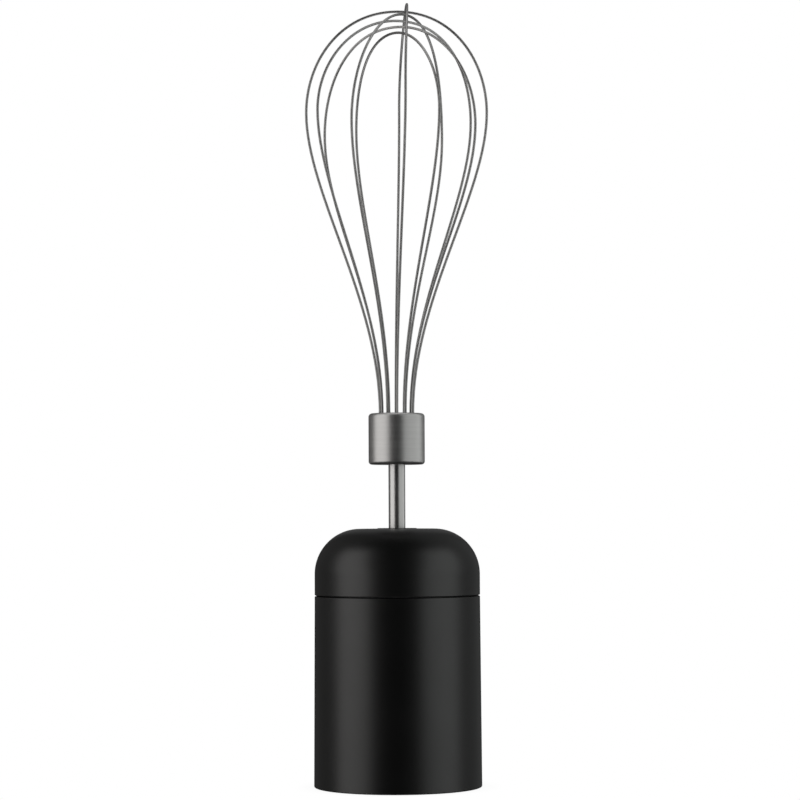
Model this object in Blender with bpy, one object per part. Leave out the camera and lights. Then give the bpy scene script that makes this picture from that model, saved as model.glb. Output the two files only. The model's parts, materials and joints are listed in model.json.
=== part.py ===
"""Whisk attachment of a hand blender: a two-part plastic housing that plugs onto the motor handle,
a planetary reduction gearbox inside it, and a balloon whisk of six wire loops that pulls out.

Metres, +Z up. The origin is the centre of the open rim, on the axis that everything turns about.
"""

import math

import bmesh
import bpy
from mathutils import Vector

MM = 0.001
MERGE = 0.005 * MM
FULL_TURN = 2 * math.pi

# Housing
RIM_RADIUS = 30.0 * MM
SEAM_RADIUS = 29.6 * MM
SLEEVE_TOP = 67.9 * MM
SEAM_GAP = 0.3 * MM
CAP_TOP = 91.8 * MM
CROWN_RISE = 0.2 * MM
DOME_RADIUS = 16.2 * MM
WALL = 2.4 * MM
EDGE = 0.4 * MM
LEDGE_TOP = 33.0 * MM
LEDGE_THICKNESS = 3.0 * MM
LEDGE_BORE = 21.0 * MM
SPIGOT_BOTTOM = 62.5 * MM
SPIGOT_RADIUS = 26.5 * MM
SEAL_HOLE = 5.8 * MM
SEAL_SEAT = 7.3 * MM
SEAL_SEAT_DEPTH = 0.5 * MM
SEAL_FLANGE = 7.0 * MM
SEAL_RISE = 0.35 * MM
COUNTERBORE = 28.2 * MM
COUNTERBORE_DEPTH = 2.4 * MM
LUG_BOTTOM = 5.0 * MM
LUG_TOP = 8.5 * MM

# Gearbox
MODULE = 0.7 * MM
PRESSURE_ANGLE = math.radians(20)
SUN_TEETH = 12
PLANET_TEETH = 24
RING_TEETH = SUN_TEETH + 2 * PLANET_TEETH
ADDENDUM = 0.8 * MODULE
DEDENDUM = 1.25 * MODULE
BACKLASH = 0.15 * MM
PLANET_ANGLES = (90, 210, 330)
PLANET_CIRCLE = MODULE * (SUN_TEETH + PLANET_TEETH) / 2
CASE_RADIUS = 26.6 * MM
SCREW_CIRCLE = 24.3 * MM
SCREW_ANGLES = (30, 150, 270)
SCREW_RADIUS = 1.25 * MM
SCREW_HEAD_RADIUS = 2.4 * MM
SCREW_HEAD = 1.8 * MM
SCREW_TIP = 49.0 * MM
COVER_TOP = 36.0 * MM
CASE_FLANGE_TOP = 51.0 * MM
CASE_TUBE_TOP = 64.0 * MM
BUSH_SEAT = 8.3 * MM
GEAR_BOTTOM = 37.1 * MM
GEAR_TOP = 43.3 * MM
RING_BOTTOM = 36.3 * MM
RING_TOP = 44.3 * MM
CARRIER_BOTTOM = 43.9 * MM
CARRIER_TOP = 47.2 * MM
PIN_RADIUS = 1.9 * MM
PIN_HEAD_RADIUS = 3.0 * MM
PIN_BOTTOM = 36.4 * MM

# Input and output
INPUT_SHAFT_RADIUS = 2.5 * MM
SUN_SHAFT_RADIUS = 1.8 * MM
COUPLING_BOTTOM = 12.0 * MM
COUPLING_TOP = 28.5 * MM
HUB_RADIUS = 5.5 * MM
HUB_TOP = 88.0 * MM
SOCKET_BOTTOM = 62.0 * MM
HEX_TOP = 74.0 * MM
HUB_GROOVE = (64.4 * MM, 65.8 * MM)
RING_SEAT = (79.7 * MM, 81.7 * MM)
INPUT_SHAFT_BOTTOM = 24.5 * MM
INPUT_GROOVE = (30.1 * MM, 31.3 * MM)

# Whisk
SHAFT_RADIUS = 3.0 * MM
FERRULE_RADIUS = 10.1 * MM
FERRULE_BOTTOM = 114.9 * MM
FERRULE_TOP = 133.3 * MM
HOLDER_MOUTH = 8.6 * MM
HOLDER_TOP = 132.0 * MM
WIRE_RADIUS = 0.47 * MM
SHAFT_TOP = 128.8 * MM
LEG_CIRCLE = 5.9 * MM
LEG_BOTTOM = 119.5 * MM
LOOP_TURNS = (0, 30, 57, 92, 117, 150)

# Clearances between pieces
REST_GAP = 0.3 * MM
RUNNING_GAP = 0.2 * MM


# ---------------------------------------------------------------- materials and small helpers


def look(name, colour, roughness, metallic=0.0):
    """A Principled material of one colour."""
    material = bpy.data.materials.new(name)
    material.use_nodes = True
    shader = material.node_tree.nodes["Principled BSDF"]
    shader.inputs["Base Color"].default_value = (*colour, 1.0)
    shader.inputs["Roughness"].default_value = roughness
    shader.inputs["Metallic"].default_value = metallic
    material.diffuse_color = (*colour, 1.0)
    return material


def pivot(name, location=(0, 0, 0), parent=None):
    """An empty on a joint's axis, for the pieces that turn or slide there."""
    empty = bpy.data.objects.new(name, None)
    empty.location = location
    empty.parent = parent
    empty.empty_display_size = 5 * MM
    bpy.context.scene.collection.objects.link(empty)
    return empty


def circle(radius, steps, centre=(0, 0)):
    """Points around a circle."""
    angles = [FULL_TURN * step / steps for step in range(steps)]
    return [(centre[0] + radius * math.cos(a), centre[1] + radius * math.sin(a)) for a in angles]


def polar(radius, degrees):
    """The point at this radius and angle."""
    return radius * math.cos(math.radians(degrees)), radius * math.sin(math.radians(degrees))


def arc(centre, radius, first, last, steps):
    """Points along an arc, its angles in degrees."""
    angles = [math.radians(first + (last - first) * step / steps) for step in range(steps + 1)]
    return [(centre[0] + radius * math.cos(a), centre[1] + radius * math.sin(a)) for a in angles]


def place(name, bm, material, parent=None, location=(0, 0, 0)):
    """Turns a bmesh into an object that faces out and is smooth where it is round."""
    bmesh.ops.recalc_face_normals(bm, faces=bm.faces)
    mesh = bpy.data.meshes.new(name)
    bm.to_mesh(mesh)
    bm.free()
    mesh.shade_smooth()
    mesh.set_sharp_from_angle(angle=math.radians(35))
    mesh.materials.append(material)
    piece = bpy.data.objects.new(name, mesh)
    piece.location = location
    piece.parent = parent
    bpy.context.scene.collection.objects.link(piece)
    return piece


def turned(name, profile, material, parent=None, steps=32, location=(0, 0, 0)):
    """Spins a closed outline of (radius, height) points about the vertical axis."""
    bm = bmesh.new()
    verts = [bm.verts.new((radius, 0, height)) for radius, height in profile]
    edges = []
    for start, end in zip(verts, verts[1:] + verts[:1]):
        if start.co.x > 0 or end.co.x > 0:
            edges.append(bm.edges.new((start, end)))
    bmesh.ops.spin(
        bm,
        geom=verts + edges,
        cent=(0, 0, 0),
        axis=(0, 0, 1),
        dvec=(0, 0, 0),
        angle=FULL_TURN,
        steps=steps,
        use_merge=True,
    )
    bmesh.ops.remove_doubles(bm, verts=bm.verts, dist=MERGE)
    return place(name, bm, material, parent, location)


def prism(name, outlines, bottom, top, material, parent=None):
    """Extrudes a flat shape upwards. The first outline is its edge, and the others are holes."""
    bm = bmesh.new()
    for outline in outlines:
        verts = [bm.verts.new((x, y, bottom)) for x, y in outline]
        for start, end in zip(verts, verts[1:] + verts[:1]):
            bm.edges.new((start, end))
    bmesh.ops.triangle_fill(bm, edges=bm.edges, use_beauty=True, normal=(0, 0, 1))
    raised = bmesh.ops.extrude_face_region(bm, geom=bm.faces[:], use_keep_orig=True)
    risen = [item for item in raised["geom"] if isinstance(item, bmesh.types.BMVert)]
    bmesh.ops.translate(bm, verts=risen, vec=(0, 0, top - bottom))
    return place(name, bm, material, parent)


def cut(piece, cutter):
    """Cuts one piece with another, which is then only a guide."""
    boolean = piece.modifiers.new("Cut", "BOOLEAN")
    boolean.operation = "DIFFERENCE"
    boolean.solver = "EXACT"
    boolean.object = cutter
    cutter.hide_render = True
    cutter.display_type = "WIRE"


def gear_outline(teeth, tip, root, thinned, flank_steps, phase=0.0):
    """Involute teeth. An internal gear's spaces are the teeth of such an outline, made thicker."""
    pitch = MODULE * teeth / 2
    base = pitch * math.cos(PRESSURE_ANGLE)
    pitch_involute = math.tan(PRESSURE_ANGLE) - PRESSURE_ANGLE

    def half_angle(radius):
        slope = math.acos(min(1.0, base / max(radius, base)))
        involute = math.tan(slope) - slope
        return math.pi / (2 * teeth) + pitch_involute - involute - thinned / (2 * pitch)

    radii = [root + (tip - root) * step / flank_steps for step in range(flank_steps + 1)]
    points = []
    for tooth in range(teeth):
        middle = phase + FULL_TURN * tooth / teeth
        flank = [(radius, half_angle(radius)) for radius in radii]
        turns = [(radius, middle - half) for radius, half in flank]
        turns += [(radius, middle + half) for radius, half in reversed(flank)]
        points += [(radius * math.cos(turn), radius * math.sin(turn)) for radius, turn in turns]
    return points


def lobed_outline(outer, inner, lobes, share, steps):
    """A circle of radius inner with lobes that reach to outer. share is how much of it they fill."""
    points = []
    for lobe in range(lobes):
        middle = 360 * lobe / lobes
        half_lobe = 180 * share / lobes
        half_gap = 180 * (1 - share) / lobes
        points += arc((0, 0), outer, middle - half_lobe, middle + half_lobe, steps)
        gap_middle = middle + 180 / lobes
        points += arc((0, 0), inner, gap_middle - half_gap, gap_middle + half_gap, steps)
    return points


# ---------------------------------------------------------------- housing


def lower_sleeve(material, parent):
    """The open sleeve: a slight draft outside, and a ledge inside that carries the gearbox."""
    mouth = RIM_RADIUS - WALL
    upper_bore = CASE_RADIUS + 0.4 * MM
    counterbore_floor = SLEEVE_TOP - COUNTERBORE_DEPTH
    ledge_bottom = LEDGE_TOP - LEDGE_THICKNESS
    profile = [
        (mouth + EDGE, 0),
        (RIM_RADIUS - EDGE, 0),
        (RIM_RADIUS, EDGE),
        (SEAM_RADIUS, SLEEVE_TOP - EDGE),
        (SEAM_RADIUS - EDGE, SLEEVE_TOP),
        (COUNTERBORE, SLEEVE_TOP),
        (COUNTERBORE, counterbore_floor),
        (upper_bore, counterbore_floor),
        (upper_bore, LEDGE_TOP),
        (LEDGE_BORE, LEDGE_TOP),
        (LEDGE_BORE, ledge_bottom),
        (mouth, ledge_bottom),
        (mouth, EDGE),
    ]
    return turned("lower_sleeve", profile, material, parent, steps=48)


def top_cap(material, parent):
    """The domed cap, with a spigot that goes into the sleeve and a stepped hole for the seal."""
    bottom = SLEEVE_TOP + SEAM_GAP
    flat = SEAM_RADIUS - DOME_RADIUS
    dome_centre = (flat, CAP_TOP - DOME_RADIUS)
    inside = DOME_RADIUS - WALL
    spigot_bore = SPIGOT_RADIUS - 1.8 * MM
    seat_floor = CAP_TOP - SEAL_SEAT_DEPTH
    profile = [(SPIGOT_RADIUS, bottom), (SEAM_RADIUS - EDGE, bottom), (SEAM_RADIUS, bottom + EDGE)]
    profile += arc(dome_centre, DOME_RADIUS, 0, 90, 8)
    profile += [(SEAL_SEAT, CAP_TOP + CROWN_RISE), (SEAL_SEAT, seat_floor)]
    profile += [(SEAL_HOLE, seat_floor), (SEAL_HOLE, CAP_TOP - WALL)]
    profile += arc(dome_centre, inside, 90, 0, 3)
    profile += [
        (SEAM_RADIUS - WALL, bottom + 4 * MM),
        (spigot_bore, bottom + 2 * MM),
        (spigot_bore, SPIGOT_BOTTOM),
        (SPIGOT_RADIUS, SPIGOT_BOTTOM),
    ]
    return turned("top_cap", profile, material, parent, steps=48)


def shaft_seal(material, parent):
    """The rubber seal around the shaft: a flange let into the cap, and a neck through its hole."""
    bore = SHAFT_RADIUS + REST_GAP
    flange_bottom = CAP_TOP - SEAL_SEAT_DEPTH + REST_GAP
    flange_top = CAP_TOP + SEAL_RISE
    neck = SEAL_HOLE - REST_GAP
    neck_bottom = HUB_TOP + 0.6 * MM
    profile = [
        (bore, neck_bottom),
        (neck, neck_bottom),
        (neck, flange_bottom),
        (SEAL_FLANGE, flange_bottom),
        (SEAL_FLANGE, flange_top - 0.15 * MM),
        (SEAL_FLANGE - 0.3 * MM, flange_top),
        (bore, flange_top),
    ]
    return turned("shaft_seal", profile, material, parent, steps=24)


def cap_seal_ring(material, parent):
    """The O-ring between the cap's spigot and the sleeve's counterbore."""
    middle = ((SPIGOT_RADIUS + COUNTERBORE) / 2, SLEEVE_TOP - COUNTERBORE_DEPTH / 2)
    section = arc(middle, 0.5 * MM, 0, 300, 5)
    return turned("cap_seal_ring", section, material, parent)


def locking_ring(material, parent):
    """Three lugs inside the mouth, which the motor handle's twist lock goes behind."""
    outer = RIM_RADIUS - WALL - REST_GAP
    lugs = lobed_outline(outer - 1.2 * MM, outer - 3.4 * MM, lobes=3, share=0.65, steps=6)
    outlines = [circle(outer, 40), lugs]
    return prism("locking_ring", outlines, LUG_BOTTOM, LUG_TOP, material, parent)


def screw_holes(bottom, top):
    """A cutter for the three screws' holes."""
    outlines = [
        circle(SCREW_RADIUS + REST_GAP, 12, polar(SCREW_CIRCLE, angle)) for angle in SCREW_ANGLES
    ]
    return prism("screw_hole_cutter", outlines, bottom, top, look("cutter", (1, 1, 1), 1))


def case_screw(number, angle, material, parent):
    """A pan-head screw from below, through the ledge and the whole gearbox."""
    x, y = polar(SCREW_CIRCLE, angle)
    head_top = LEDGE_TOP - LEDGE_THICKNESS - REST_GAP
    head_bottom = head_top - SCREW_HEAD
    profile = [
        (0, head_bottom + 0.9 * MM),
        (0.9 * MM, head_bottom),
        (SCREW_HEAD_RADIUS - 0.6 * MM, head_bottom),
        (SCREW_HEAD_RADIUS, head_bottom + 0.7 * MM),
        (SCREW_HEAD_RADIUS, head_top),
        (SCREW_RADIUS, head_top),
        (SCREW_RADIUS, SCREW_TIP - 0.6 * MM),
        (0, SCREW_TIP),
    ]
    return turned(f"case_screw_{number}", profile, material, parent, 16, (x, y, 0))


# ---------------------------------------------------------------- gearbox


def gearcase_cover(material, parent):
    """The plate that closes the gearbox from below, with holes for the bush and the screws."""
    holes = [circle(5.1 * MM, 24)]
    for angle in SCREW_ANGLES:
        holes.append(circle(SCREW_RADIUS + REST_GAP, 12, polar(SCREW_CIRCLE, angle)))
    outlines = [circle(CASE_RADIUS, 48)] + holes
    return prism("gearcase_cover", outlines, LEDGE_TOP + REST_GAP, COVER_TOP, material, parent)


def ring_gear(material, parent):
    """The fixed internal gear, clamped between the cover and the top of the gearcase."""
    pitch = MODULE * RING_TEETH / 2
    half_tooth = math.pi / RING_TEETH
    spaces = gear_outline(RING_TEETH, pitch + DEDENDUM, pitch - ADDENDUM, -BACKLASH, 1, half_tooth)
    outlines = [circle(CASE_RADIUS, 48), spaces]
    for angle in SCREW_ANGLES:
        outlines.append(circle(SCREW_RADIUS + REST_GAP, 12, polar(SCREW_CIRCLE, angle)))
    return prism("ring_gear", outlines, RING_BOTTOM, RING_TOP, material, parent)


def gearcase_top(material, parent):
    """The upper half of the gearbox: a pocket for the carrier, and a tube for the upper bush."""
    pocket = 18.6 * MM
    pocket_top = 49.0 * MM
    tube = 10.6 * MM
    hub_hole = HUB_RADIUS + 0.4 * MM
    profile = [
        (pocket, RING_TOP + REST_GAP),
        (CASE_RADIUS, RING_TOP + REST_GAP),
        (CASE_RADIUS, CASE_FLANGE_TOP),
        (tube, CASE_FLANGE_TOP),
        (tube, CASE_TUBE_TOP),
        (BUSH_SEAT, CASE_TUBE_TOP),
        (BUSH_SEAT, CASE_FLANGE_TOP),
        (hub_hole, CASE_FLANGE_TOP),
        (hub_hole, pocket_top),
        (pocket, pocket_top),
    ]
    return turned("gearcase_top", profile, material, parent)


def lower_bush(material, parent):
    """The flanged bronze bush of the input shaft."""
    bore = INPUT_SHAFT_RADIUS + RUNNING_GAP
    outer = 4.8 * MM
    flange = 6.4 * MM
    bottom = LEDGE_TOP - 1.0 * MM
    top = COVER_TOP + 0.2 * MM
    profile = [
        (bore, bottom),
        (flange, bottom),
        (flange, LEDGE_TOP),
        (outer, LEDGE_TOP),
        (outer, top),
        (bore, top),
    ]
    return turned("lower_bush", profile, material, parent, steps=20)


def upper_bush(material, parent):
    """The plain bronze bush of the output hub."""
    bore = HUB_RADIUS + RUNNING_GAP
    outer = BUSH_SEAT - REST_GAP
    bottom = CASE_FLANGE_TOP + 0.4 * MM
    top = CASE_TUBE_TOP - 0.2 * MM
    profile = [(bore, bottom), (outer, bottom), (outer, top), (bore, top)]
    return turned("upper_bush", profile, material, parent, steps=20)


def sun_gear(material, parent):
    """The small driving gear in the middle."""
    pitch = MODULE * SUN_TEETH / 2
    teeth = gear_outline(SUN_TEETH, pitch + ADDENDUM, pitch - DEDENDUM, BACKLASH, 2)
    outlines = [teeth, circle(SUN_SHAFT_RADIUS + REST_GAP, 16)]
    return prism("sun_gear", outlines, GEAR_BOTTOM, GEAR_TOP, material, parent)


def planet_gear(number, angle, material, parent):
    """A planet on its pin, turned so that it is in mesh with the sun and the ring."""
    pitch = MODULE * PLANET_TEETH / 2
    phase = math.radians(1.5 * angle) + math.pi / PLANET_TEETH
    teeth = gear_outline(PLANET_TEETH, pitch + ADDENDUM, pitch - DEDENDUM, BACKLASH, 1, phase)
    outlines = [teeth, circle(PIN_RADIUS + RUNNING_GAP, 16)]
    name = f"planet_gear_{number}"
    return prism(name, outlines, GEAR_BOTTOM, GEAR_TOP, material, parent)


def planet_pin(number, angle, material, parent):
    """A headed steel pin, pressed up into the carrier."""
    x, y = polar(PLANET_CIRCLE, angle)
    head_top = PIN_BOTTOM + 0.4 * MM
    top = CARRIER_TOP - 0.3 * MM
    profile = [
        (0, PIN_BOTTOM),
        (PIN_HEAD_RADIUS, PIN_BOTTOM),
        (PIN_HEAD_RADIUS, head_top),
        (PIN_RADIUS, head_top),
        (PIN_RADIUS, top),
        (0, top),
    ]
    return turned(f"planet_pin_{number}", profile, material, parent, 16, (x, y, 0))


def planet_carrier(material, parent):
    """The plate that the three pins and the output hub are pressed into."""
    hub_seat = 4.2 * MM
    outlines = [circle(16.6 * MM, 36), circle(hub_seat, 20)]
    for angle in PLANET_ANGLES:
        outlines.append(circle(PIN_RADIUS + REST_GAP, 16, polar(PLANET_CIRCLE, angle)))
    return prism("planet_carrier", outlines, CARRIER_BOTTOM, CARRIER_TOP, material, parent)


def thrust_washer(material, parent):
    """The washer between the carrier and the top of the gearcase."""
    outlines = [circle(9.5 * MM, 24), circle(HUB_RADIUS + REST_GAP, 20)]
    bottom = CARRIER_TOP + 0.4 * MM
    return prism("thrust_washer", outlines, bottom, bottom + 1.0 * MM, material, parent)


# ---------------------------------------------------------------- input and output


def drive_coupling(material, parent):
    """The splined socket for the motor handle's drive tip."""
    socket = 3.6 * MM
    socket_top = 22.0 * MM
    bore = INPUT_SHAFT_RADIUS + REST_GAP
    bore_bottom = 24.2 * MM
    outer = 7.5 * MM
    profile = [
        (0, socket_top),
        (socket, socket_top),
        (socket, COUPLING_BOTTOM + 1.2 * MM),
        (socket + 1.2 * MM, COUPLING_BOTTOM),
        (outer - 0.8 * MM, COUPLING_BOTTOM),
        (outer, COUPLING_BOTTOM + 0.8 * MM),
        (outer, COUPLING_TOP - 0.8 * MM),
        (outer - 0.8 * MM, COUPLING_TOP),
        (bore, COUPLING_TOP),
        (bore, bore_bottom),
        (0, bore_bottom),
    ]
    coupling = turned("drive_coupling", profile, material, parent, steps=24)
    splines = lobed_outline(5.0 * MM, 3.0 * MM, lobes=6, share=0.35, steps=1)
    cut(coupling, prism("spline_cutter", [splines], 11 * MM, 20.5 * MM, material))
    return coupling


def input_shaft(material, parent):
    """The stepped steel shaft from the coupling to the sun gear, with a circlip groove."""
    groove = 2.0 * MM
    groove_bottom, groove_top = INPUT_GROOVE
    step = GEAR_BOTTOM - 0.5 * MM
    top = GEAR_TOP + 0.2 * MM
    profile = [
        (0, INPUT_SHAFT_BOTTOM),
        (INPUT_SHAFT_RADIUS - EDGE, INPUT_SHAFT_BOTTOM),
        (INPUT_SHAFT_RADIUS, INPUT_SHAFT_BOTTOM + EDGE),
        (INPUT_SHAFT_RADIUS, groove_bottom),
        (groove, groove_bottom),
        (groove, groove_top),
        (INPUT_SHAFT_RADIUS, groove_top),
        (INPUT_SHAFT_RADIUS, step),
        (SUN_SHAFT_RADIUS, step),
        (SUN_SHAFT_RADIUS, top - EDGE),
        (SUN_SHAFT_RADIUS - EDGE, top),
        (0, top),
    ]
    return turned("input_shaft", profile, material, parent, steps=16)


def circlip(name, inner, outer, groove, material, parent):
    """An open retaining ring in its groove, which has this bottom and top."""
    half_gap = 25
    outline = arc((0, 0), outer, half_gap, 360 - half_gap, 18)
    outline += arc((0, 0), inner, 360 - half_gap, half_gap, 18)
    bottom, top = groove
    return prism(name, [outline], bottom + REST_GAP, top - REST_GAP, material, parent)


def output_hub(material, parent):
    """The steel tube that the whisk shaft plugs into: a hexagonal socket under a round bore."""
    bore = SHAFT_RADIUS + REST_GAP
    spigot = 3.9 * MM
    shoulder = CARRIER_TOP + REST_GAP
    groove = 5.0 * MM
    groove_bottom, groove_top = HUB_GROOVE
    ring_seat = 4.1 * MM
    seat_bottom, seat_top = RING_SEAT
    profile = [
        (0, CARRIER_BOTTOM),
        (spigot, CARRIER_BOTTOM),
        (spigot, shoulder),
        (HUB_RADIUS, shoulder),
        (HUB_RADIUS, groove_bottom),
        (groove, groove_bottom),
        (groove, groove_top),
        (HUB_RADIUS, groove_top),
        (HUB_RADIUS, HUB_TOP - EDGE),
        (HUB_RADIUS - EDGE, HUB_TOP),
        (bore + EDGE, HUB_TOP),
        (bore, HUB_TOP - EDGE),
        (bore, seat_top),
        (ring_seat, seat_top),
        (ring_seat, seat_bottom),
        (bore, seat_bottom),
        (bore, HEX_TOP),
        (0, HEX_TOP),
    ]
    hub = turned("output_hub", profile, material, parent, steps=20)
    hexagon = circle(SHAFT_RADIUS + REST_GAP, 6)
    cut(hub, prism("hex_cutter", [hexagon], SOCKET_BOTTOM, HEX_TOP + 1 * MM, material))
    return hub


def grip_ring(material, parent):
    """The rubber ring in the hub that grips the whisk shaft."""
    inner = SHAFT_RADIUS + 0.2 * MM
    outer = 3.8 * MM
    bottom = RING_SEAT[0] + 0.4 * MM
    top = RING_SEAT[1] - 0.4 * MM
    profile = [
        (inner, bottom + EDGE),
        (inner + 0.2 * MM, bottom),
        (outer, bottom),
        (outer, top),
        (inner + 0.2 * MM, top),
        (inner, top - EDGE),
    ]
    return turned("grip_ring", profile, material, parent, steps=16)


# ---------------------------------------------------------------- whisk


def whisk_shaft(material, parent):
    """The round steel shaft, with its lower end milled to a hexagon."""
    bottom = SOCKET_BOTTOM + 0.4 * MM
    round_bottom = HEX_TOP + 0.3 * MM
    profile = [
        (0, round_bottom),
        (SHAFT_RADIUS, round_bottom),
        (SHAFT_RADIUS, SHAFT_TOP - EDGE),
        (SHAFT_RADIUS - EDGE, SHAFT_TOP),
        (0, SHAFT_TOP),
    ]
    shaft = turned("whisk_shaft", profile, material, parent, steps=24)
    hexagon = circle(SHAFT_RADIUS - 0.05 * MM, 6)
    end = prism("hex_end", [hexagon], bottom, round_bottom + 2 * MM, material, parent)
    joined = shaft.modifiers.new("Join", "BOOLEAN")
    joined.operation = "UNION"
    joined.solver = "EXACT"
    joined.object = end
    end.hide_render = True
    end.display_type = "WIRE"
    return shaft


def ferrule(material, parent):
    """The steel cup around the wires' ends: closed around the shaft, its rim rolled inwards."""
    wall = 0.8 * MM
    floor_top = FERRULE_BOTTOM + 1.8 * MM
    bore = SHAFT_RADIUS + REST_GAP
    corner = 1.2 * MM
    low_corner = (FERRULE_RADIUS - corner, FERRULE_BOTTOM + corner)
    high_corner = (FERRULE_RADIUS - corner, FERRULE_TOP - corner)
    profile = [(bore, FERRULE_BOTTOM)]
    profile += arc(low_corner, corner, -90, 0, 4)
    profile += arc(high_corner, corner, 0, 90, 4)
    profile += [(HOLDER_MOUTH, FERRULE_TOP), (HOLDER_MOUTH, FERRULE_TOP - wall)]
    profile += arc(high_corner, corner - wall, 90, 0, 2)
    profile += [(FERRULE_RADIUS - wall, floor_top), (bore, floor_top)]
    return turned("ferrule", profile, material, parent, steps=40)


def wire_holder(material, parent):
    """The plug in the ferrule, with a hole for each wire leg and a blind bore for the shaft."""
    outlines = [circle(FERRULE_RADIUS - 1.1 * MM, 32)]
    for turn in LOOP_TURNS:
        for leg_turn in (turn, turn + 180):
            outlines.append(circle(WIRE_RADIUS + REST_GAP, 8, polar(LEG_CIRCLE, leg_turn)))
    bottom = FERRULE_BOTTOM + 3.0 * MM
    holder = prism("wire_holder", outlines, bottom, HOLDER_TOP, material, parent)
    bore = circle(SHAFT_RADIUS + REST_GAP, 16)
    cut(holder, prism("bore_cutter", [bore], bottom - 1 * MM, SHAFT_TOP + REST_GAP, material))
    return holder


def wire_loop(number, turn, reach, bulge_height, crown_height, lean, sway, material, parent):
    """One bent wire: up out of the holder, out to the bulge, over the crown and down again.

    turn is the angle of the loop's plane in degrees, and reach is the bulge's radius. lean and
    sway are how far the crown and the bulge stand off the axis, towards +X.
    """
    up = Vector((0, 0, 1))
    down = -up
    sideways = Vector((*polar(1, turn), 0))
    stub = 4 * MM
    rise = 41 * MM
    swell = 29 * MM
    shoulder = 0.5 * (crown_height - bulge_height)
    crown = 0.64 * reach
    first_leg = sideways * LEG_CIRCLE
    first_bulge = Vector((sway, 0, bulge_height)) + sideways * reach
    second_bulge = Vector((sway, 0, bulge_height)) - sideways * reach
    # Each station: a point, the way the wire runs there, and its handles' lengths.
    stations = [
        (first_leg + up * LEG_BOTTOM, up, stub, stub),
        (first_leg + up * FERRULE_TOP, up, stub, rise),
        (first_bulge, up, swell, shoulder),
        (Vector((lean, 0, crown_height)), -sideways, crown, crown),
        (second_bulge, down, shoulder, swell),
        (-first_leg + up * FERRULE_TOP, down, rise, stub),
        (-first_leg + up * LEG_BOTTOM, down, stub, stub),
    ]
    name = f"wire_loop_{number}"
    curve = bpy.data.curves.new(name, "CURVE")
    curve.dimensions = "3D"
    curve.resolution_u = 9
    curve.bevel_depth = WIRE_RADIUS
    curve.bevel_resolution = 1
    curve.use_fill_caps = True
    curve.materials.append(material)
    spline = curve.splines.new("BEZIER")
    spline.bezier_points.add(len(stations) - 1)
    for point, (where, along, back, ahead) in zip(spline.bezier_points, stations):
        point.handle_left_type = "FREE"
        point.handle_right_type = "FREE"
        point.co = where
        point.handle_left = where - along * back
        point.handle_right = where + along * ahead
    loop = bpy.data.objects.new(name, curve)
    loop.parent = parent
    bpy.context.scene.collection.objects.link(loop)
    return loop


# ---------------------------------------------------------------- the whole attachment


def build_housing():
    """What stays still: the casing, the gearbox around the gears, and their fasteners."""
    frame = pivot("housing_frame")
    black = look("black_plastic", (0.012, 0.012, 0.013), 0.42)
    nylon = look("grey_nylon", (0.42, 0.42, 0.40), 0.5)
    rubber = look("black_rubber", (0.02, 0.02, 0.02), 0.7)
    bronze = look("sintered_bronze", (0.45, 0.28, 0.13), 0.45, 0.9)
    zinc = look("zinc_steel", (0.55, 0.56, 0.58), 0.3, 1.0)
    sleeve = lower_sleeve(black, frame)
    top_cap(black, frame)
    shaft_seal(rubber, frame)
    cap_seal_ring(rubber, frame)
    locking_ring(black, frame)
    gearcase_cover(nylon, frame)
    ring_gear(nylon, frame)
    upper_case = gearcase_top(nylon, frame)
    holes = screw_holes(bottom=29 * MM, top=49.7 * MM)
    cut(sleeve, holes)
    cut(upper_case, holes)
    for number, angle in enumerate(SCREW_ANGLES, start=1):
        case_screw(number, angle, zinc, frame)
    lower_bush(bronze, frame)
    upper_bush(bronze, frame)


def build_input():
    """What the motor turns."""
    axis = pivot("input_axis")
    steel = look("bright_steel", (0.58, 0.57, 0.55), 0.3, 1.0)
    drive_coupling(look("coupling_plastic", (0.03, 0.03, 0.032), 0.5), axis)
    input_shaft(steel, axis)
    circlip("input_circlip", 2.3 * MM, 4.6 * MM, INPUT_GROOVE, steel, axis)
    sun_gear(steel, axis)


def build_carrier():
    """What the planets drive, with the planets on their own axes. Gives back the carrier's axis."""
    axis = pivot("carrier_axis")
    steel = look("carrier_steel", (0.5, 0.5, 0.5), 0.38, 1.0)
    acetal = look("white_acetal", (0.8, 0.79, 0.75), 0.4)
    planet_carrier(steel, axis)
    for number, angle in enumerate(PLANET_ANGLES, start=1):
        x, y = polar(PLANET_CIRCLE, angle)
        planet_axis = pivot(f"planet_axis_{number}", (x, y, 0), axis)
        planet_gear(number, angle, acetal, planet_axis)
        planet_pin(number, angle, steel, axis)
    thrust_washer(acetal, axis)
    output_hub(steel, axis)
    circlip("hub_circlip", 5.3 * MM, 8.0 * MM, HUB_GROOVE, steel, axis)
    grip_ring(look("ring_rubber", (0.02, 0.02, 0.02), 0.7), axis)
    return axis


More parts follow.
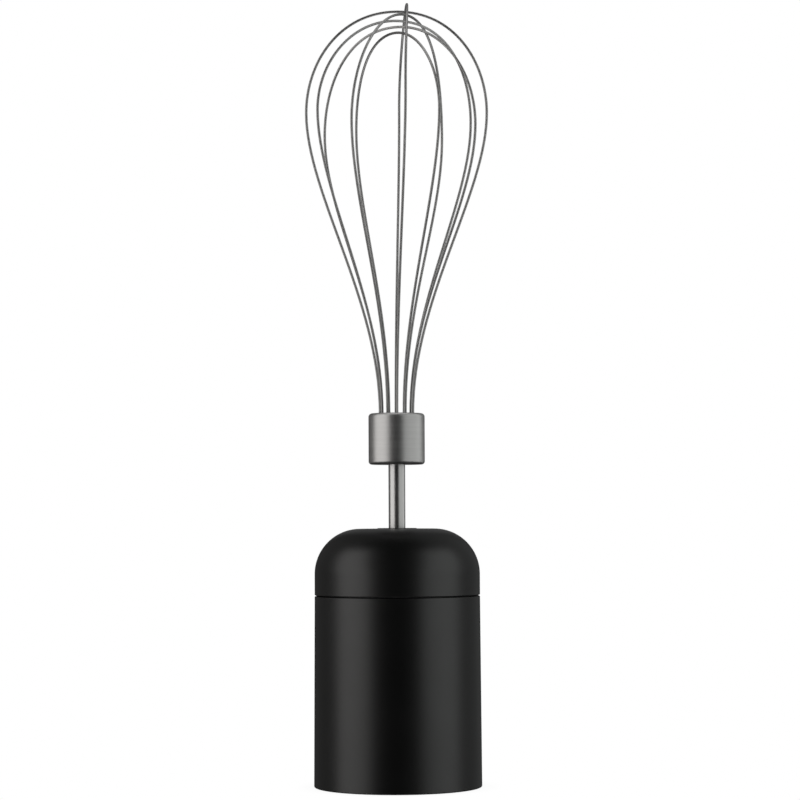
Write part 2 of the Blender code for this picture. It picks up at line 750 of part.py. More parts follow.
def build_whisk(carrier_axis):
    """What pulls out of the hub: the shaft, the ferrule and the wires."""
    axis = pivot("whisk_axis", parent=carrier_axis)
    steel = look("brushed_steel", (0.45, 0.44, 0.42), 0.32, 1.0)
    wire_steel = look("wire_steel", (0.5, 0.49, 0.47), 0.28, 1.0)
    whisk_shaft(steel, axis)
    ferrule(steel, axis)
    wire_holder(look("holder_plastic", (0.05, 0.05, 0.05), 0.5), axis)
    loops = [
        dict(reach=32.6, bulge_height=241.9, crown_height=278.7, lean=0.8, sway=0.5),
        dict(reach=31.9, bulge_height=240.7, crown_height=275.2, lean=2.9, sway=0.1),
        dict(reach=29.9, bulge_height=235.8, crown_height=277.4, lean=4.4, sway=1.0),
        dict(reach=32.4, bulge_height=247.2, crown_height=280.7, lean=4.2, sway=2.6),
        dict(reach=33.1, bulge_height=239.4, crown_height=270.5, lean=-1.8, sway=0.5),
        dict(reach=31.4, bulge_height=235.7, crown_height=273.0, lean=-0.4, sway=1.3),
    ]
    for number, (turn, loop) in enumerate(zip(LOOP_TURNS, loops), start=1):
        sizes = {key: value * MM for key, value in loop.items()}
        wire_loop(number, turn, **sizes, material=wire_steel, parent=axis)


def main():
    for leftover in list(bpy.data.objects):
        bpy.data.objects.remove(leftover, do_unlink=True)
    build_housing()
    build_input()
    build_whisk(build_carrier())


main()
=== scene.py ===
"""The looks of a stick mixer's whisk attachment: a satin black housing, a brushed steel ferrule, a
drawn steel shaft and six steel wires. The pieces that can be seen are made again here with finer
surfaces, in the places that the CAD frame gives, and the CAD pieces inside keep their shapes.

Metres, +Z up, like the frame. The outlines of turned and extruded pieces are in millimetres.
"""

import json
import math

import bmesh
import bpy
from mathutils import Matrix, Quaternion, Vector

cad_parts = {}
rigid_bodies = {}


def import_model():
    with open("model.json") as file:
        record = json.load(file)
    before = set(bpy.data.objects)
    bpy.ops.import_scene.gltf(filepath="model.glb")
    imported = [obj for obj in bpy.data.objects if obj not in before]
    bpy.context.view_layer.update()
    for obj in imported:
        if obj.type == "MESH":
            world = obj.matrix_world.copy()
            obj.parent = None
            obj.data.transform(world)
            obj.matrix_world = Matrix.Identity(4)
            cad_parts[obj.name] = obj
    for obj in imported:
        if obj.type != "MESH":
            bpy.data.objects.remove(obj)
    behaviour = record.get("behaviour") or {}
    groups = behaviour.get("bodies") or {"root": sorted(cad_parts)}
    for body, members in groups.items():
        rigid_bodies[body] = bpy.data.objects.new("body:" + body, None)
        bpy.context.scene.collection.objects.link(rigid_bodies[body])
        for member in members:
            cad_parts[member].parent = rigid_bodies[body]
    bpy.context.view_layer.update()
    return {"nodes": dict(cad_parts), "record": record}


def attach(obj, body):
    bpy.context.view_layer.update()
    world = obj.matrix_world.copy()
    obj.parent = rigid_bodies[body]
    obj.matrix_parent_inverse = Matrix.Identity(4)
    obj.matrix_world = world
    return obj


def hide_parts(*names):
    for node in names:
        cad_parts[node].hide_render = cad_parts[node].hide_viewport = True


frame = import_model()

members = frame["record"]["behaviour"]["bodies"]
body_of = {node: body for body, nodes in members.items() for node in nodes}
slot_of = {part["node"]: part["material_slot"] for part in frame["record"]["subparts"]}

MM = 0.001
MERGE = 0.002 * MM
FULL_TURN = 2 * math.pi
SMOOTH_ANGLE = math.radians(35)

# How many steps go round or along a shape, and how round a wire's section is
BODY_STEPS = 192
SMALL_STEPS = 96
SCREW_STEPS = 48
FLOOR_STEPS = 64
LUG_STEPS = 32
SPLINE_STEPS = 6
LEG_HOLE_STEPS = 16
CURVE_STEPS = 32
CURVE_ROUNDNESS = 4
BEVEL_STEPS = 3
CORNER_STEPS = 6
DOME_STEPS = 28
LARGE_FILLET = 5.0

# The sum of two noises takes a surface from one of its looks to the other between these levels.
NOISE_LOW = 0.7
NOISE_HIGH = 1.3

# The camera stands a little over the housing's top and looks slightly up.
EYE = Vector((1.08, -943.8, 96.4)) * MM
PITCH_UP = math.radians(2.53)
ROLL = math.radians(0.27)
LENS_MM = 118.3
SENSOR_MM = 36.0

# Sizes that the outlines share, in millimetres
RIM_RADIUS = 30.0
SEAM_RADIUS = 29.6
SLEEVE_TOP = 67.9
CAP_BOTTOM = 68.2
CAP_TOP = 91.8
CROWN_RISE = 0.2
DOME_RADIUS = 16.2
WALL = 2.4
LEDGE_TOP = 33.0
LEDGE_BOTTOM = 30.0
LEDGE_BORE = 21.0
SCREW_CIRCLE = 24.3
SCREW_ANGLES = (30, 150, 270)
SCREW_HOLE = 1.55
SHAFT_RADIUS = 3.0
SHAFT_TOP = 128.8
HEX_BOTTOM = 62.4
HEX_TOP = 74.3
FERRULE_RADIUS = 10.1
FERRULE_BOTTOM = 114.9
FERRULE_TOP = 133.3
HOLDER_MOUTH = 8.6
HOLDER_TOP = 132.0
LEG_CIRCLE = 5.9
LEG_BOTTOM = 119.5
LOOP_TURNS = (0, 30, 57, 92, 117, 150)
WIRE_RADIUS = 0.47


# ---------------------------------------------------------------- materials


def add(tree, kind, inputs, **settings):
    """A new shader node, with its settings, and with its inputs set or linked."""
    node = tree.nodes.new(kind)
    for name, value in settings.items():
        setattr(node, name, value)
    for name, value in inputs.items():
        if isinstance(value, bpy.types.NodeSocket):
            tree.links.new(value, node.inputs[name])
        else:
            node.inputs[name].default_value = value
    return node


def noise(tree, frequencies, detail):
    """Noise over the piece's own coordinates, with a frequency per metre along each of them."""
    place = add(tree, "ShaderNodeTexCoord", {}).outputs["Object"]
    mapping = add(tree, "ShaderNodeMapping", {"Vector": place, "Scale": frequencies})
    inputs = {"Vector": mapping.outputs["Vector"], "Scale": 1.0, "Detail": detail}
    return add(tree, "ShaderNodeTexNoise", inputs).outputs["Fac"]


def finish(
    name, colours, roughness, grain, patches, relief, metallic=0.0, brushed=0.0, specular=0.5
):
    """A Principled material with a fine grain over broad patches.

    colours and roughness are each a pair that the surface varies between. grain and patches are
    the noises' frequencies per metre along X, Y and Z, and relief is the grain's depth.
    """
    material = bpy.data.materials.new(name)
    material.use_nodes = True
    tree = material.node_tree
    shader = tree.nodes["Principled BSDF"]
    shader.inputs["Metallic"].default_value = metallic
    shader.inputs["Specular IOR Level"].default_value = specular
    fine = noise(tree, grain, detail=3.0)
    broad = noise(tree, patches, detail=2.0)
    total = add(tree, "ShaderNodeMath", {0: fine, 1: broad}, operation="ADD").outputs[0]
    ranges = {"Value": total, "From Min": NOISE_LOW, "From Max": NOISE_HIGH}
    share = add(tree, "ShaderNodeMapRange", ranges).outputs["Result"]
    ramp = add(tree, "ShaderNodeValToRGB", {"Fac": share})
    for element, colour in zip(ramp.color_ramp.elements, colours):
        element.color = (*colour, 1.0)
    ranges.update({"To Min": roughness[0], "To Max": roughness[1]})
    rough = add(tree, "ShaderNodeMapRange", ranges).outputs["Result"]
    bump = add(tree, "ShaderNodeBump", {"Height": fine, "Strength": 1.0, "Distance": relief})
    tree.links.new(ramp.outputs["Color"], shader.inputs["Base Color"])
    tree.links.new(rough, shader.inputs["Roughness"])
    tree.links.new(bump.outputs["Normal"], shader.inputs["Normal"])
    if brushed:
        # The brush runs round the axis, so that highlights spread along it.
        quarter_turn = 0.25
        around = add(tree, "ShaderNodeTangent", {}, direction_type="RADIAL", axis="Z")
        tree.links.new(around.outputs["Tangent"], shader.inputs["Tangent"])
        shader.inputs["Anisotropic"].default_value = brushed
        shader.inputs["Anisotropic Rotation"].default_value = quarter_turn
    return material


def grey(level, warmth=0.0):
    """A grey, a little warmer or cooler."""
    return (level * (1 + warmth), level, level * (1 - warmth))


def make_finishes():
    """Each of the record's material slots, and the shaft's own finish."""
    even = (1, 1, 1)
    round_axis = (0.03, 0.03, 1)
    along_axis = (1, 1, 0.01)

    def at(frequency, shape=even):
        return tuple(frequency * side for side in shape)

    return {
        "black_plastic": finish(
            "black_plastic", colours=(grey(0.0008), grey(0.0015)), roughness=(0.36, 0.40),
            grain=at(3500), patches=at(60), relief=0.003 * MM, specular=0.8,
        ),
        "black_rubber": finish(
            "black_rubber", colours=(grey(0.010), grey(0.015)), roughness=(0.6, 0.72),
            grain=at(2500), patches=at(90), relief=0.006 * MM,
        ),
        "grey_nylon": finish(
            "grey_nylon", colours=(grey(0.34, 0.02), grey(0.45, 0.02)), roughness=(0.42, 0.6),
            grain=at(4000), patches=at(200, (1, 1, 3)), relief=0.008 * MM,
        ),
        "white_acetal": finish(
            "white_acetal", colours=(grey(0.74, 0.03), grey(0.82, 0.03)), roughness=(0.28, 0.4),
            grain=at(3000), patches=at(120), relief=0.002 * MM,
        ),
        "coupling_plastic": finish(
            "coupling_plastic", colours=(grey(0.016), grey(0.032)), roughness=(0.4, 0.58),
            grain=at(5000), patches=at(250), relief=0.008 * MM,
        ),
        "holder_plastic": finish(
            "holder_plastic", colours=(grey(0.03), grey(0.05)), roughness=(0.5, 0.65),
            grain=at(4000), patches=at(200), relief=0.006 * MM,
        ),
        "sintered_bronze": finish(
            "sintered_bronze", colours=((0.30, 0.18, 0.08), (0.54, 0.34, 0.16)),
            roughness=(0.4, 0.6), grain=at(6000), patches=at(500), relief=0.012 * MM,
            metallic=0.95,
        ),
        "zinc_steel": finish(
            "zinc_steel", colours=(grey(0.48, -0.03), grey(0.62, -0.02)), roughness=(0.25, 0.42),
            grain=at(1500), patches=at(400), relief=0.002 * MM, metallic=1.0,
        ),
        "bright_steel": finish(
            "bright_steel", colours=(grey(0.50, 0.02), grey(0.60, 0.02)), roughness=(0.2, 0.32),
            grain=at(6000, round_axis), patches=at(150), relief=0.003 * MM, metallic=1.0,
        ),
        "brushed_steel": finish(
            "brushed_steel", colours=(grey(0.55, 0.01), grey(0.61, 0.01)), roughness=(0.38, 0.44),
            grain=at(4500, round_axis), patches=at(1200, round_axis), relief=0.0015 * MM,
            metallic=1.0, brushed=0.2,
        ),
        "drawn_steel": finish(
            "drawn_steel", colours=(grey(0.57, 0.01), grey(0.62, 0.01)), roughness=(0.27, 0.33),
            grain=at(5000, along_axis), patches=at(150), relief=0.002 * MM, metallic=1.0,
        ),
        "wire_steel": finish(
            "wire_steel", colours=(grey(0.41, 0.01), grey(0.49, 0.01)), roughness=(0.36, 0.46),
            grain=at(1500), patches=at(150), relief=0.002 * MM, metallic=1.0,
        ),
    }


# ---------------------------------------------------------------- making pieces


def polar(radius, degrees):
    """The point at this radius and angle."""
    angle = math.radians(degrees)
    return radius * math.cos(angle), radius * math.sin(angle)


def arc(radius, first, last, steps, centre=(0, 0)):
    """Points along an arc, its angles in degrees."""
    angles = [first + (last - first) * step / steps for step in range(steps + 1)]
    around = [polar(radius, angle) for angle in angles]
    return [(centre[0] + x, centre[1] + y) for x, y in around]


def circle(radius, steps, centre=(0, 0)):
    """Points around a circle."""
    return arc(radius, 0, 360, steps, centre)[:-1]


def lobed(outer, inner, lobes, share, steps):
    """A circle of radius inner with lobes that reach to outer. share is how much of it they fill."""
    points = []
    pitch = 360 / lobes
    for lobe in range(lobes):
        middle = pitch * lobe
        points += arc(outer, middle - pitch * share / 2, middle + pitch * share / 2, steps)
        gap = middle + pitch / 2
        points += arc(inner, gap - pitch * (1 - share) / 2, gap + pitch * (1 - share) / 2, steps)
    return points


def rounded(corners):
    """A closed outline with each (x, y, fillet) corner rounded by an arc that meets both sides."""
    points = []
    neighbours = zip(corners[-1:] + corners[:-1], corners, corners[1:] + corners[:1])
    for before, corner, after in neighbours:
        here = Vector(corner[:2])
        fillet = corner[2] if len(corner) > 2 else 0
        if not fillet:
            points.append(tuple(here))
            continue
        back = (Vector(before[:2]) - here).normalized()
        ahead = (Vector(after[:2]) - here).normalized()
        half = back.angle(ahead) / 2
        centre = here + (back + ahead).normalized() * (fillet / math.sin(half))
        reach = fillet / math.tan(half)
        first, last = [here + side * reach - centre for side in (back, ahead)]
        start = math.degrees(math.atan2(first.y, first.x))
        sweep = (math.degrees(math.atan2(last.y, last.x)) - start + 180) % 360 - 180
        steps = DOME_STEPS if fillet > LARGE_FILLET else CORNER_STEPS
        points += arc(fillet, start, start + sweep, steps, centre)
    return points


def place(name, bm, material, location=(0, 0, 0)):
    """Turns a bmesh into a smooth object that faces out."""
    bmesh.ops.recalc_face_normals(bm, faces=bm.faces)
    mesh = bpy.data.meshes.new(name)
    bm.to_mesh(mesh)
    bm.free()
    mesh.materials.append(material)
    piece = bpy.data.objects.new(name, mesh)
    piece.location = location
    bpy.context.scene.collection.objects.link(piece)
    return piece


def turned(name, corners, material, steps=SMALL_STEPS, location=(0, 0, 0)):
    """Spins an outline of (radius, height, fillet) corners about the vertical axis."""
    bm = bmesh.new()
    verts = [bm.verts.new((radius * MM, 0, height * MM)) for radius, height in rounded(corners)]
    edges = []
    for start, end in zip(verts, verts[1:] + verts[:1]):
        if start.co.x > 0 or end.co.x > 0:
            edges.append(bm.edges.new((start, end)))
    bmesh.ops.spin(
        bm,
        geom=verts + edges,
        cent=(0, 0, 0),
        axis=(0, 0, 1),
        dvec=(0, 0, 0),
        angle=FULL_TURN,
        steps=steps,
        use_merge=True,
    )
    bmesh.ops.remove_doubles(bm, verts=bm.verts, dist=MERGE)
    return place(name, bm, material, location)


def prism(name, outlines, bottom, top, material, location=(0, 0, 0), taper=1.0):
    """Extrudes a flat shape upwards. The first outline is its edge, and the others are holes."""
    bm = bmesh.new()
    for outline in outlines:
        verts = [bm.verts.new((x * MM, y * MM, bottom * MM)) for x, y in outline]
        for start, end in zip(verts, verts[1:] + verts[:1]):
            bm.edges.new((start, end))
    bmesh.ops.triangle_fill(bm, edges=bm.edges, use_beauty=True, normal=(0, 0, 1))
    raised = bmesh.ops.extrude_face_region(bm, geom=bm.faces[:], use_keep_orig=True)
    risen = [item for item in raised["geom"] if isinstance(item, bmesh.types.BMVert)]
    bmesh.ops.translate(bm, verts=risen, vec=(0, 0, (top - bottom) * MM))
    bmesh.ops.scale(bm, verts=risen, vec=(taper, taper, 1))
    return place(name, bm, material, location)


def combine(piece, other, operation):
    """Cuts a piece with another shape, or joins the two. The other shape is then gone."""
    boolean = piece.modifiers.new("Combine", "BOOLEAN")
    boolean.operation = operation
    boolean.solver = "EXACT"
    boolean.object = other
    graph = bpy.context.evaluated_depsgraph_get()
    piece.data = bpy.data.meshes.new_from_object(piece.evaluated_get(graph))
    piece.modifiers.clear()
    bpy.data.objects.remove(other)
    return piece


def bevelled(piece, width):
    """Rounds a piece's sharp edges, with a width in millimetres."""
    bevel = piece.modifiers.new("Bevel", "BEVEL")
    bevel.width = width * MM
    bevel.segments = BEVEL_STEPS
    bevel.limit_method = "ANGLE"
    bevel.angle_limit = SMOOTH_ANGLE
    return piece


def stand_for(piece, node):
    """Shows a piece in place of a CAD node, on the same body."""
    if piece.type == "MESH":
        piece.data.shade_smooth()
        piece.data.set_sharp_from_angle(angle=SMOOTH_ANGLE)
        piece.modifiers.new("Weighted normals", "WEIGHTED_NORMAL").keep_sharp = True
    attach(piece, body_of[node])
    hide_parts(node)


# ---------------------------------------------------------------- housing


def lower_sleeve(material):
    """The open sleeve, with its ledge inside and the screws' holes through that."""
    mouth, bore = RIM_RADIUS - WALL, 27.0
    counterbore, counterbore_floor = 28.2, 65.5
    corners = [
        (mouth, 0, 0.3),
        (RIM_RADIUS, 0, 0.4),
        (SEAM_RADIUS, SLEEVE_TOP, 0.35),
        (counterbore, SLEEVE_TOP, 0.2),
        (counterbore, counterbore_floor),
        (bore, counterbore_floor, 0.2),
        (bore, LEDGE_TOP, 0.3),
        (LEDGE_BORE, LEDGE_TOP, 0.2),
        (LEDGE_BORE, LEDGE_BOTTOM, 0.3),
        (mouth, LEDGE_BOTTOM, 1.0),
    ]
    sleeve = turned("sleeve_shell", corners, material, BODY_STEPS)
    for angle in SCREW_ANGLES:
        hole = circle(SCREW_HOLE, SCREW_STEPS, polar(SCREW_CIRCLE, angle))
        cutter = prism("hole", [hole], LEDGE_BOTTOM - 1, LEDGE_TOP + 1, material)
        combine(sleeve, cutter, "DIFFERENCE")
    stand_for(sleeve, "lower_sleeve")


def top_cap(material):
    """The domed cap. Its top rises slightly towards the seal, which is let into it."""
    seat, seat_floor, hole = 7.2, CAP_TOP - 0.5, 5.8
    inside = SEAM_RADIUS - WALL
    spigot, spigot_bottom, bore = 26.5, 62.5, 24.7
    slope_bottom, slope_top = CAP_BOTTOM + 2, CAP_BOTTOM + 4
    corners = [
        (spigot, CAP_BOTTOM),
        (SEAM_RADIUS, CAP_BOTTOM, 0.35),
        (SEAM_RADIUS, CAP_TOP, DOME_RADIUS),
        (seat, CAP_TOP + CROWN_RISE, 0.1),
        (seat, seat_floor),
        (hole, seat_floor),
        (hole, CAP_TOP - WALL, 0.1),
        (inside, CAP_TOP - WALL, DOME_RADIUS - WALL),
        (inside, slope_top),
        (bore, slope_bottom),
        (bore, spigot_bottom, 0.2),
        (spigot, spigot_bottom, 0.4),
    ]
    stand_for(turned("cap_shell", corners, material, BODY_STEPS), "top_cap")


def shaft_seal(material):
    """The seal's flange in the cap, stepped down to a lip that rises a little to the shaft."""
    bore, neck, flange = SHAFT_RADIUS + 0.2, 5.5, 7.05
    step_foot, step_edge = 4.1, 4.6
    bottom, flange_bottom, top = 88.6, CAP_TOP - 0.3, CAP_TOP + 0.35
    corners = [
        (bore, bottom),
        (neck, bottom, 0.1),
        (neck, flange_bottom),
        (flange, flange_bottom, 0.1),
        (flange, top, 0.2),
        (step_edge, top, 0.3),
        (step_foot, top - 0.25, 0.3),
        (bore, top - 0.1, 0.05),
    ]
    stand_for(turned("seal_lip", corners, material), "shaft_seal")


def locking_ring(material):
    """Three lugs inside the mouth, for the motor handle's twist lock."""
    outer, bottom, top = 27.3, 5.0, 8.5
    ring_depth, lug_depth = 1.2, 3.4
    inside = lobed(outer - ring_depth, outer - lug_depth, lobes=3, share=0.65, steps=LUG_STEPS)
    ring = prism("lug_ring", [circle(outer, BODY_STEPS), inside], bottom, top, material)
    stand_for(bevelled(ring, width=0.25), "locking_ring")


def case_screw(number, angle, material):
    """A pan-head screw with a cross recess, its head down."""
    head, head_bottom, head_top = 2.4, 27.9, 29.7
    shank, tip, point = 1.25, 49.0, 0.6
    recess_arm, recess_half, recess_top, recess_taper = 1.35, 0.28, head_top - 0.5, 0.45
    corners = [
        (0, head_bottom),
        (head, head_bottom, 0.9),
        (head, head_top, 0.1),
        (shank, head_top),
        (shank, tip - point),
        (0, tip),
    ]
    location = (*polar(SCREW_CIRCLE * MM, angle), 0)
    screw = turned(f"screw_{number}", corners, material, SCREW_STEPS, location)
    slot = [
        (-recess_arm, -recess_half),
        (recess_arm, -recess_half),
        (recess_arm, recess_half),
        (-recess_arm, recess_half),
    ]
    for turn in (0, 90):
        cutter = prism(
            "recess", [slot], head_bottom - 0.2, recess_top, material, location, recess_taper
        )
        cutter.rotation_euler.z = math.radians(turn + angle)
        bpy.context.view_layer.update()
        combine(screw, cutter, "DIFFERENCE")
    stand_for(screw, f"case_screw_{number}")


def gearcase_cover(material):
    """The gearbox's lower plate, with the bush's hole and the screws' holes."""
    edge, bush_hole, bottom, top = 26.6, 5.1, 33.3, 36.0
    outlines = [circle(edge, BODY_STEPS), circle(bush_hole, SMALL_STEPS)]
    for angle in SCREW_ANGLES:
        outlines.append(circle(SCREW_HOLE, SCREW_STEPS, polar(SCREW_CIRCLE, angle)))
    plate = prism("gearbox_plate", outlines, bottom, top, material)
    stand_for(bevelled(plate, width=0.2), "gearcase_cover")


def drive_coupling(material):
    """The splined socket in the middle of the mouth."""
    outer, bottom, top = 7.5, 12.0, 28.5
    socket, socket_top, chamfer = 3.6, 22.0, 1.2
    bore, bore_bottom = 2.8, 24.2
    groove_bottom, groove_top = bottom - 1, 20.5
    corners = [
        (0, socket_top),
        (socket, socket_top),
        (socket, bottom + chamfer, 0.2),
        (socket + chamfer, bottom, 0.2),
        (outer, bottom, 0.8),
        (outer, top, 0.8),
        (bore, top, 0.2),
        (bore, bore_bottom),
        (0, bore_bottom),
    ]
    coupling = turned("coupling_socket", corners, material)
    grooves = lobed(outer=5.0, inner=3.0, lobes=6, share=0.35, steps=SPLINE_STEPS)
    cutter = prism("splines", [grooves], groove_bottom, groove_top, material)
    combine(coupling, cutter, "DIFFERENCE")
    stand_for(coupling, "drive_coupling")


# ---------------------------------------------------------------- whisk


def whisk_shaft(material):
    """The round shaft, with a hexagon on its lower end."""
    hex_radius, hex_overlap = SHAFT_RADIUS - 0.05, 2
    corners = [
        (0, HEX_TOP),
        (SHAFT_RADIUS, HEX_TOP, 0.2),
        (SHAFT_RADIUS, SHAFT_TOP, 0.4),
        (0, SHAFT_TOP),
    ]
    shaft = turned("steel_shaft", corners, material)
    hexagon = circle(hex_radius, steps=6)
    end = prism("hexagon", [hexagon], HEX_BOTTOM, HEX_TOP + hex_overlap, material)
    combine(shaft, bevelled(end, width=0.25), "UNION")
    stand_for(shaft, "whisk_shaft")


def ferrule(material):
    """The steel cup around the wires' ends, its rim rolled inwards."""
    wall, floor = 0.8, 1.8
    bore = SHAFT_RADIUS + 0.3
    corners = [
        (bore, FERRULE_BOTTOM, 0.15),
        (FERRULE_RADIUS, FERRULE_BOTTOM, 1.2),
        (FERRULE_RADIUS, FERRULE_TOP, 1.3),
        (HOLDER_MOUTH, FERRULE_TOP, 0.15),
        (HOLDER_MOUTH, FERRULE_TOP - wall, 0.15),
        (FERRULE_RADIUS - wall, FERRULE_TOP - wall, 0.4),
        (FERRULE_RADIUS - wall, FERRULE_BOTTOM + floor, 0.4),
        (bore, FERRULE_BOTTOM + floor),
    ]
    stand_for(turned("ferrule_cup", corners, material, BODY_STEPS), "ferrule")


def wire_holder(material):
    """The plug in the ferrule, which the wires' legs go down into."""
    edge, bottom = FERRULE_RADIUS - 1.1, FERRULE_BOTTOM + 3.0
    leg_hole = WIRE_RADIUS + 0.05
    bore, bore_top = SHAFT_RADIUS + 0.3, SHAFT_TOP + 0.3
    outlines = [circle(edge, BODY_STEPS)]
    for turn in LOOP_TURNS:
        for leg_turn in (turn, turn + 180):
            outlines.append(circle(leg_hole, LEG_HOLE_STEPS, polar(LEG_CIRCLE, leg_turn)))
    plug = prism("wire_plug", outlines, bottom, HOLDER_TOP, material)
    cutter = prism("bore", [circle(bore, SCREW_STEPS)], FERRULE_BOTTOM, bore_top, material)
    combine(plug, cutter, "DIFFERENCE")
    stand_for(plug, "wire_holder")


def wire_loop(number, turn, reach, bulge_height, crown_height, lean, sway, material):
    """One bent wire: up out of the plug, out to the bulge, over the crown and down again.

    turn is the angle of the loop's plane in degrees, and reach is the bulge's radius. lean and
    sway are how far the crown and the bulge stand off the axis, towards +X.
    """
    up = Vector((0, 0, 1))
    sideways = Vector((*polar(1, turn), 0))
    # The handles' lengths in the plug, over it, under and over the bulge, and at the crown. The
    # longer they are, the fuller the curve.
    stub, rise, swell = 4.0, 41.0, 29.0
    shoulder_share, crown_share = 0.5, 0.64
    shoulder = shoulder_share * (crown_height - bulge_height)
    crown = crown_share * reach
    first_leg = sideways * LEG_CIRCLE
    first_bulge = Vector((sway, 0, bulge_height)) + sideways * reach
    second_bulge = Vector((sway, 0, bulge_height)) - sideways * reach
    # Each station: a point, the way the wire runs there, and its handles back and ahead.
    stations = [
        (first_leg + up * LEG_BOTTOM, up, stub, stub),
        (first_leg + up * FERRULE_TOP, up, stub, rise),
        (first_bulge, up, swell, shoulder),
        (Vector((lean, 0, crown_height)), -sideways, crown, crown),
        (second_bulge, -up, shoulder, swell),
        (-first_leg + up * FERRULE_TOP, -up, rise, stub),
        (-first_leg + up * LEG_BOTTOM, -up, stub, stub),
    ]
    curve = bpy.data.curves.new(f"wire_{number}", "CURVE")
    curve.dimensions = "3D"
    curve.resolution_u = CURVE_STEPS
    curve.bevel_depth = WIRE_RADIUS * MM
    curve.bevel_resolution = CURVE_ROUNDNESS
    curve.use_fill_caps = True
    curve.materials.append(material)
    spline = curve.splines.new("BEZIER")
    spline.bezier_points.add(len(stations) - 1)
    for point, (where, along, back, ahead) in zip(spline.bezier_points, stations):
        point.handle_left_type = "FREE"
        point.handle_right_type = "FREE"
        point.co = where * MM
        point.handle_left = (where - along * back) * MM
        point.handle_right = (where + along * ahead) * MM
    wire = bpy.data.objects.new(f"wire_{number}", curve)
    bpy.context.scene.collection.objects.link(wire)
    stand_for(wire, f"wire_loop_{number}")


# ---------------------------------------------------------------- the attachment


def build_pieces(looks):
    """The pieces that show, in place of their CAD nodes."""
    lower_sleeve(looks["black_plastic"])
    top_cap(looks["black_plastic"])
    shaft_seal(looks["black_rubber"])
    locking_ring(looks["black_plastic"])
    for number, angle in enumerate(SCREW_ANGLES, start=1):
        case_screw(number, angle, looks["zinc_steel"])
    gearcase_cover(looks["grey_nylon"])
    drive_coupling(looks["coupling_plastic"])
    whisk_shaft(looks["drawn_steel"])
    ferrule(looks["brushed_steel"])
    wire_holder(looks["holder_plastic"])
    loops = [
        dict(reach=32.6, bulge_height=241.9, crown_height=278.7, lean=0.8, sway=0.5),
        dict(reach=31.9, bulge_height=240.7, crown_height=275.2, lean=2.9, sway=0.1),
        dict(reach=29.9, bulge_height=235.8, crown_height=277.4, lean=4.4, sway=1.0),
        dict(reach=32.4, bulge_height=247.2, crown_height=280.7, lean=4.2, sway=2.6),
        dict(reach=33.1, bulge_height=239.4, crown_height=270.5, lean=-1.8, sway=0.5),
        dict(reach=31.4, bulge_height=235.7, crown_height=273.0, lean=-0.4, sway=1.3),
    ]
    for number, (turn, loop) in enumerate(zip(LOOP_TURNS, loops), start=1):
        wire_loop(number, turn, **loop, material=looks["wire_steel"])


def finish_inner_nodes(looks):
    """The CAD nodes that still show keep their shapes and get their slots' finishes."""
    for name, node in frame["nodes"].items():
        if not node.hide_render:
            node.material_slots[0].material = looks[slot_of[name]]


# ---------------------------------------------------------------- studio


def add_floor():
    """A pale floor just under the object, with a painted contact shadow close round it, and clear
    from below.
    """
    radius, drop = 6.0, 0.05 * MM
    shade_reach, shade = 8 * MM, 0.92
    bm = bmesh.new()
    bmesh.ops.create_circle(bm, cap_ends=True, segments=FLOOR_STEPS, radius=radius)
    bmesh.ops.translate(bm, verts=bm.verts, vec=(0, 0, -drop))
    material = bpy.data.materials.new("floor")
    material.use_nodes = True
    tree = material.node_tree
    tree.nodes.clear()
    # Painted shade: the floor's glow is darkened by ambient occlusion close round the object.
    painted_contact_shadow = add(tree, "ShaderNodeAmbientOcclusion", {"Distance": shade_reach}).outputs["AO"]
    level = add(tree, "ShaderNodeMapRange", {"Value": painted_contact_shadow, "To Min": shade, "To Max": 1.0})
    paint = add(tree, "ShaderNodeEmission", {"Color": level.outputs["Result"], "Strength": 1.0})
    clear = add(tree, "ShaderNodeBsdfTransparent", {})
    below = add(tree, "ShaderNodeNewGeometry", {}).outputs["Backfacing"]
    sides = {0: below, 1: paint.outputs[0], 2: clear.outputs[0]}
    mixed = add(tree, "ShaderNodeMixShader", sides)
    add(tree, "ShaderNodeOutputMaterial", {"Surface": mixed.outputs[0]})
    floor = place("floor", bm, material)
    floor.visible_glossy = False
    floor.visible_diffuse = False
    floor.visible_shadow = False


def add_softbox(name, azimuth, width, top, radiance, colour=(1, 1, 1), lean=0):
    """An upright soft light. Its azimuth is from the camera's side, towards +X, in degrees.

    lean turns it in its own plane, by degrees, about a point just over the housing's height.
    """
    distance, bottom, pivot = 0.8, -0.2, 0.1
    angle = math.radians(azimuth)
    height = top - bottom
    data = bpy.data.lights.new(name, "AREA")
    data.shape = "RECTANGLE"
    data.size = width
    data.size_y = height
    data.energy = radiance * math.pi * width * height
    data.color = colour
    light = bpy.data.objects.new(name, data)
    outward = Vector((math.sin(angle), -math.cos(angle), 0))
    turn = (-outward).to_track_quat("-Z", "Y") @ Quaternion((0, 0, 1), math.radians(lean))
    along = turn @ Vector((0, 1, 0))
    turning_point = outward * distance + Vector((0, 0, pivot))
    light.location = turning_point + along * ((bottom + top) / 2 - pivot)
    light.rotation_euler = turn.to_euler()
    light.visible_camera = False
    bpy.context.scene.collection.objects.link(light)
    return light


def add_level_light(name, height, size, radiance):
    """A soft light that shines straight down, or straight up from below the floor."""
    data = bpy.data.lights.new(name, "AREA")
    data.shape = "SQUARE"
    data.size = size
    data.energy = radiance * math.pi * size * size
    light = bpy.data.objects.new(name, data)
    light.location.z = height
    light.rotation_euler.x = 0 if height > 0 else math.pi
    light.visible_camera = False
    bpy.context.scene.collection.objects.link(light)
    return light


def choose_pieces(light, pieces, state):
    """Lets a light fall on these pieces only, or with EXCLUDE on all the others."""
    chosen = bpy.data.collections.new(light.name + "_pieces")
    for piece in pieces:
        chosen.objects.link(piece)
    for member in chosen.collection_objects:
        member.light_linking.link_state = state
    light.light_linking.receiver_collection = chosen


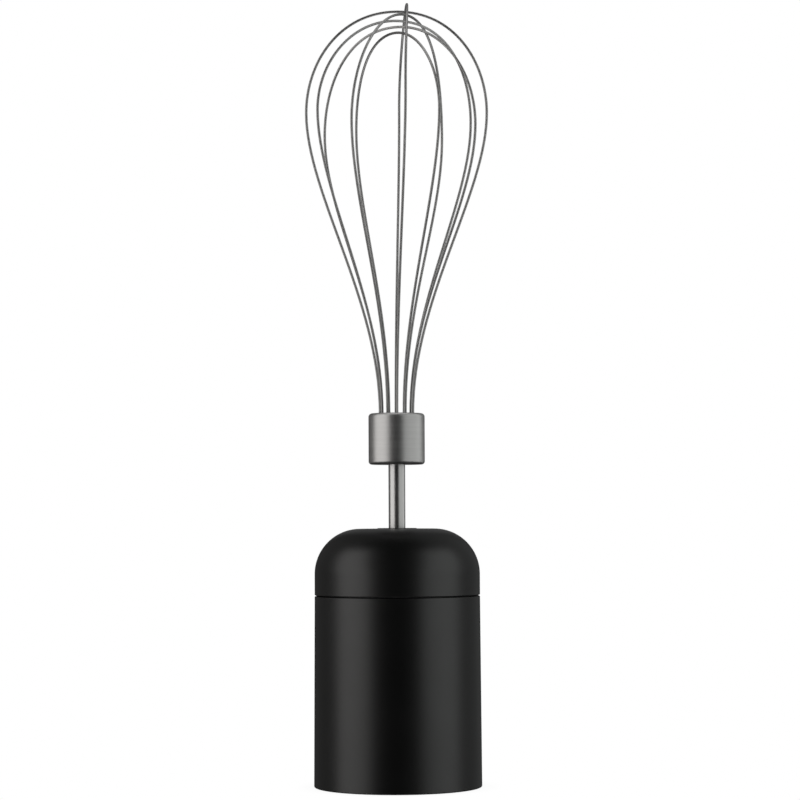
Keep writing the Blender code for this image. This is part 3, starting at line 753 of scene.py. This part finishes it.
def add_lights():
    """Softboxes at the sides and behind, and soft lights above and below, in a dim room.

    The ferrule and shaft have side lights of their own, which leave the other pieces dark, and
    the keys leave those two dark. The light above is for the whisk, and of the two below one is
    for the wires and the other for the housing's mouth.
    """
    warm, cool = (1.0, 0.985, 0.97), (0.98, 1.0, 0.985)
    side_top, back_top = 1.2, 2.6
    room_colour, room_strength = (0.9, 0.95, 1.0, 1), 0.012
    left_key = add_softbox(
        "left_key", azimuth=-64, width=0.75, top=side_top, radiance=1.04, colour=warm, lean=16
    )
    right_key = add_softbox(
        "right_key", azimuth=63, width=0.87, top=side_top, radiance=0.82, colour=cool, lean=-16
    )
    add_softbox("left_back", azimuth=-126, width=1.0, top=back_top, radiance=0.09, colour=warm)
    add_softbox("right_back", azimuth=126, width=1.0, top=back_top, radiance=0.16, colour=cool)
    add_softbox("back", azimuth=180, width=0.45, top=back_top, radiance=0.2)
    steel_left = add_softbox(
        "steel_left", azimuth=-67, width=1.06, top=side_top, radiance=1.02, colour=warm
    )
    steel_right = add_softbox(
        "steel_right", azimuth=73, width=1.69, top=side_top, radiance=0.60, colour=cool
    )
    whisk_above = add_level_light("whisk_above", height=1.4, size=1.2, radiance=0.8)
    wires_below = add_level_light("wires_below", height=-0.6, size=1.2, radiance=0.8)
    mouth_light = add_level_light("mouth_light", height=-0.6, size=0.6, radiance=1.0)
    steel = [bpy.data.objects[name] for name in ("ferrule_cup", "steel_shaft")]
    wires = [bpy.data.objects[f"wire_{number}"] for number in range(1, len(LOOP_TURNS) + 1)]
    choose_pieces(left_key, steel, "EXCLUDE")
    choose_pieces(right_key, steel, "EXCLUDE")
    choose_pieces(steel_left, steel, "INCLUDE")
    choose_pieces(steel_right, steel, "INCLUDE")
    choose_pieces(whisk_above, steel + wires, "INCLUDE")
    choose_pieces(wires_below, wires, "INCLUDE")
    choose_pieces(mouth_light, steel + wires, "EXCLUDE")
    world = bpy.data.worlds.new("studio")
    world.use_nodes = True
    tree = world.node_tree
    tree.nodes.clear()
    room = add(tree, "ShaderNodeBackground", {"Color": room_colour, "Strength": room_strength})
    backdrop = add(tree, "ShaderNodeBackground", {"Color": (1, 1, 1, 1), "Strength": 1.0})
    seen = add(tree, "ShaderNodeLightPath", {}).outputs["Is Camera Ray"]
    both = add(tree, "ShaderNodeMixShader", {0: seen, 1: room.outputs[0], 2: backdrop.outputs[0]})
    add(tree, "ShaderNodeOutputWorld", {"Surface": both.outputs[0]})
    bpy.context.scene.world = world
    bpy.context.scene.view_settings.view_transform = "Standard"


def add_camera():
    """The camera, in front of the object."""
    data = bpy.data.cameras.new("camera")
    data.lens = LENS_MM
    data.sensor_width = SENSOR_MM
    camera = bpy.data.objects.new("camera", data)
    camera.location = EYE
    camera.rotation_euler = (math.pi / 2 + PITCH_UP, ROLL, 0)
    bpy.context.scene.collection.objects.link(camera)
    bpy.context.scene.camera = camera


looks = make_finishes()
build_pieces(looks)
finish_inner_nodes(looks)
add_floor()
add_lights()
add_camera()
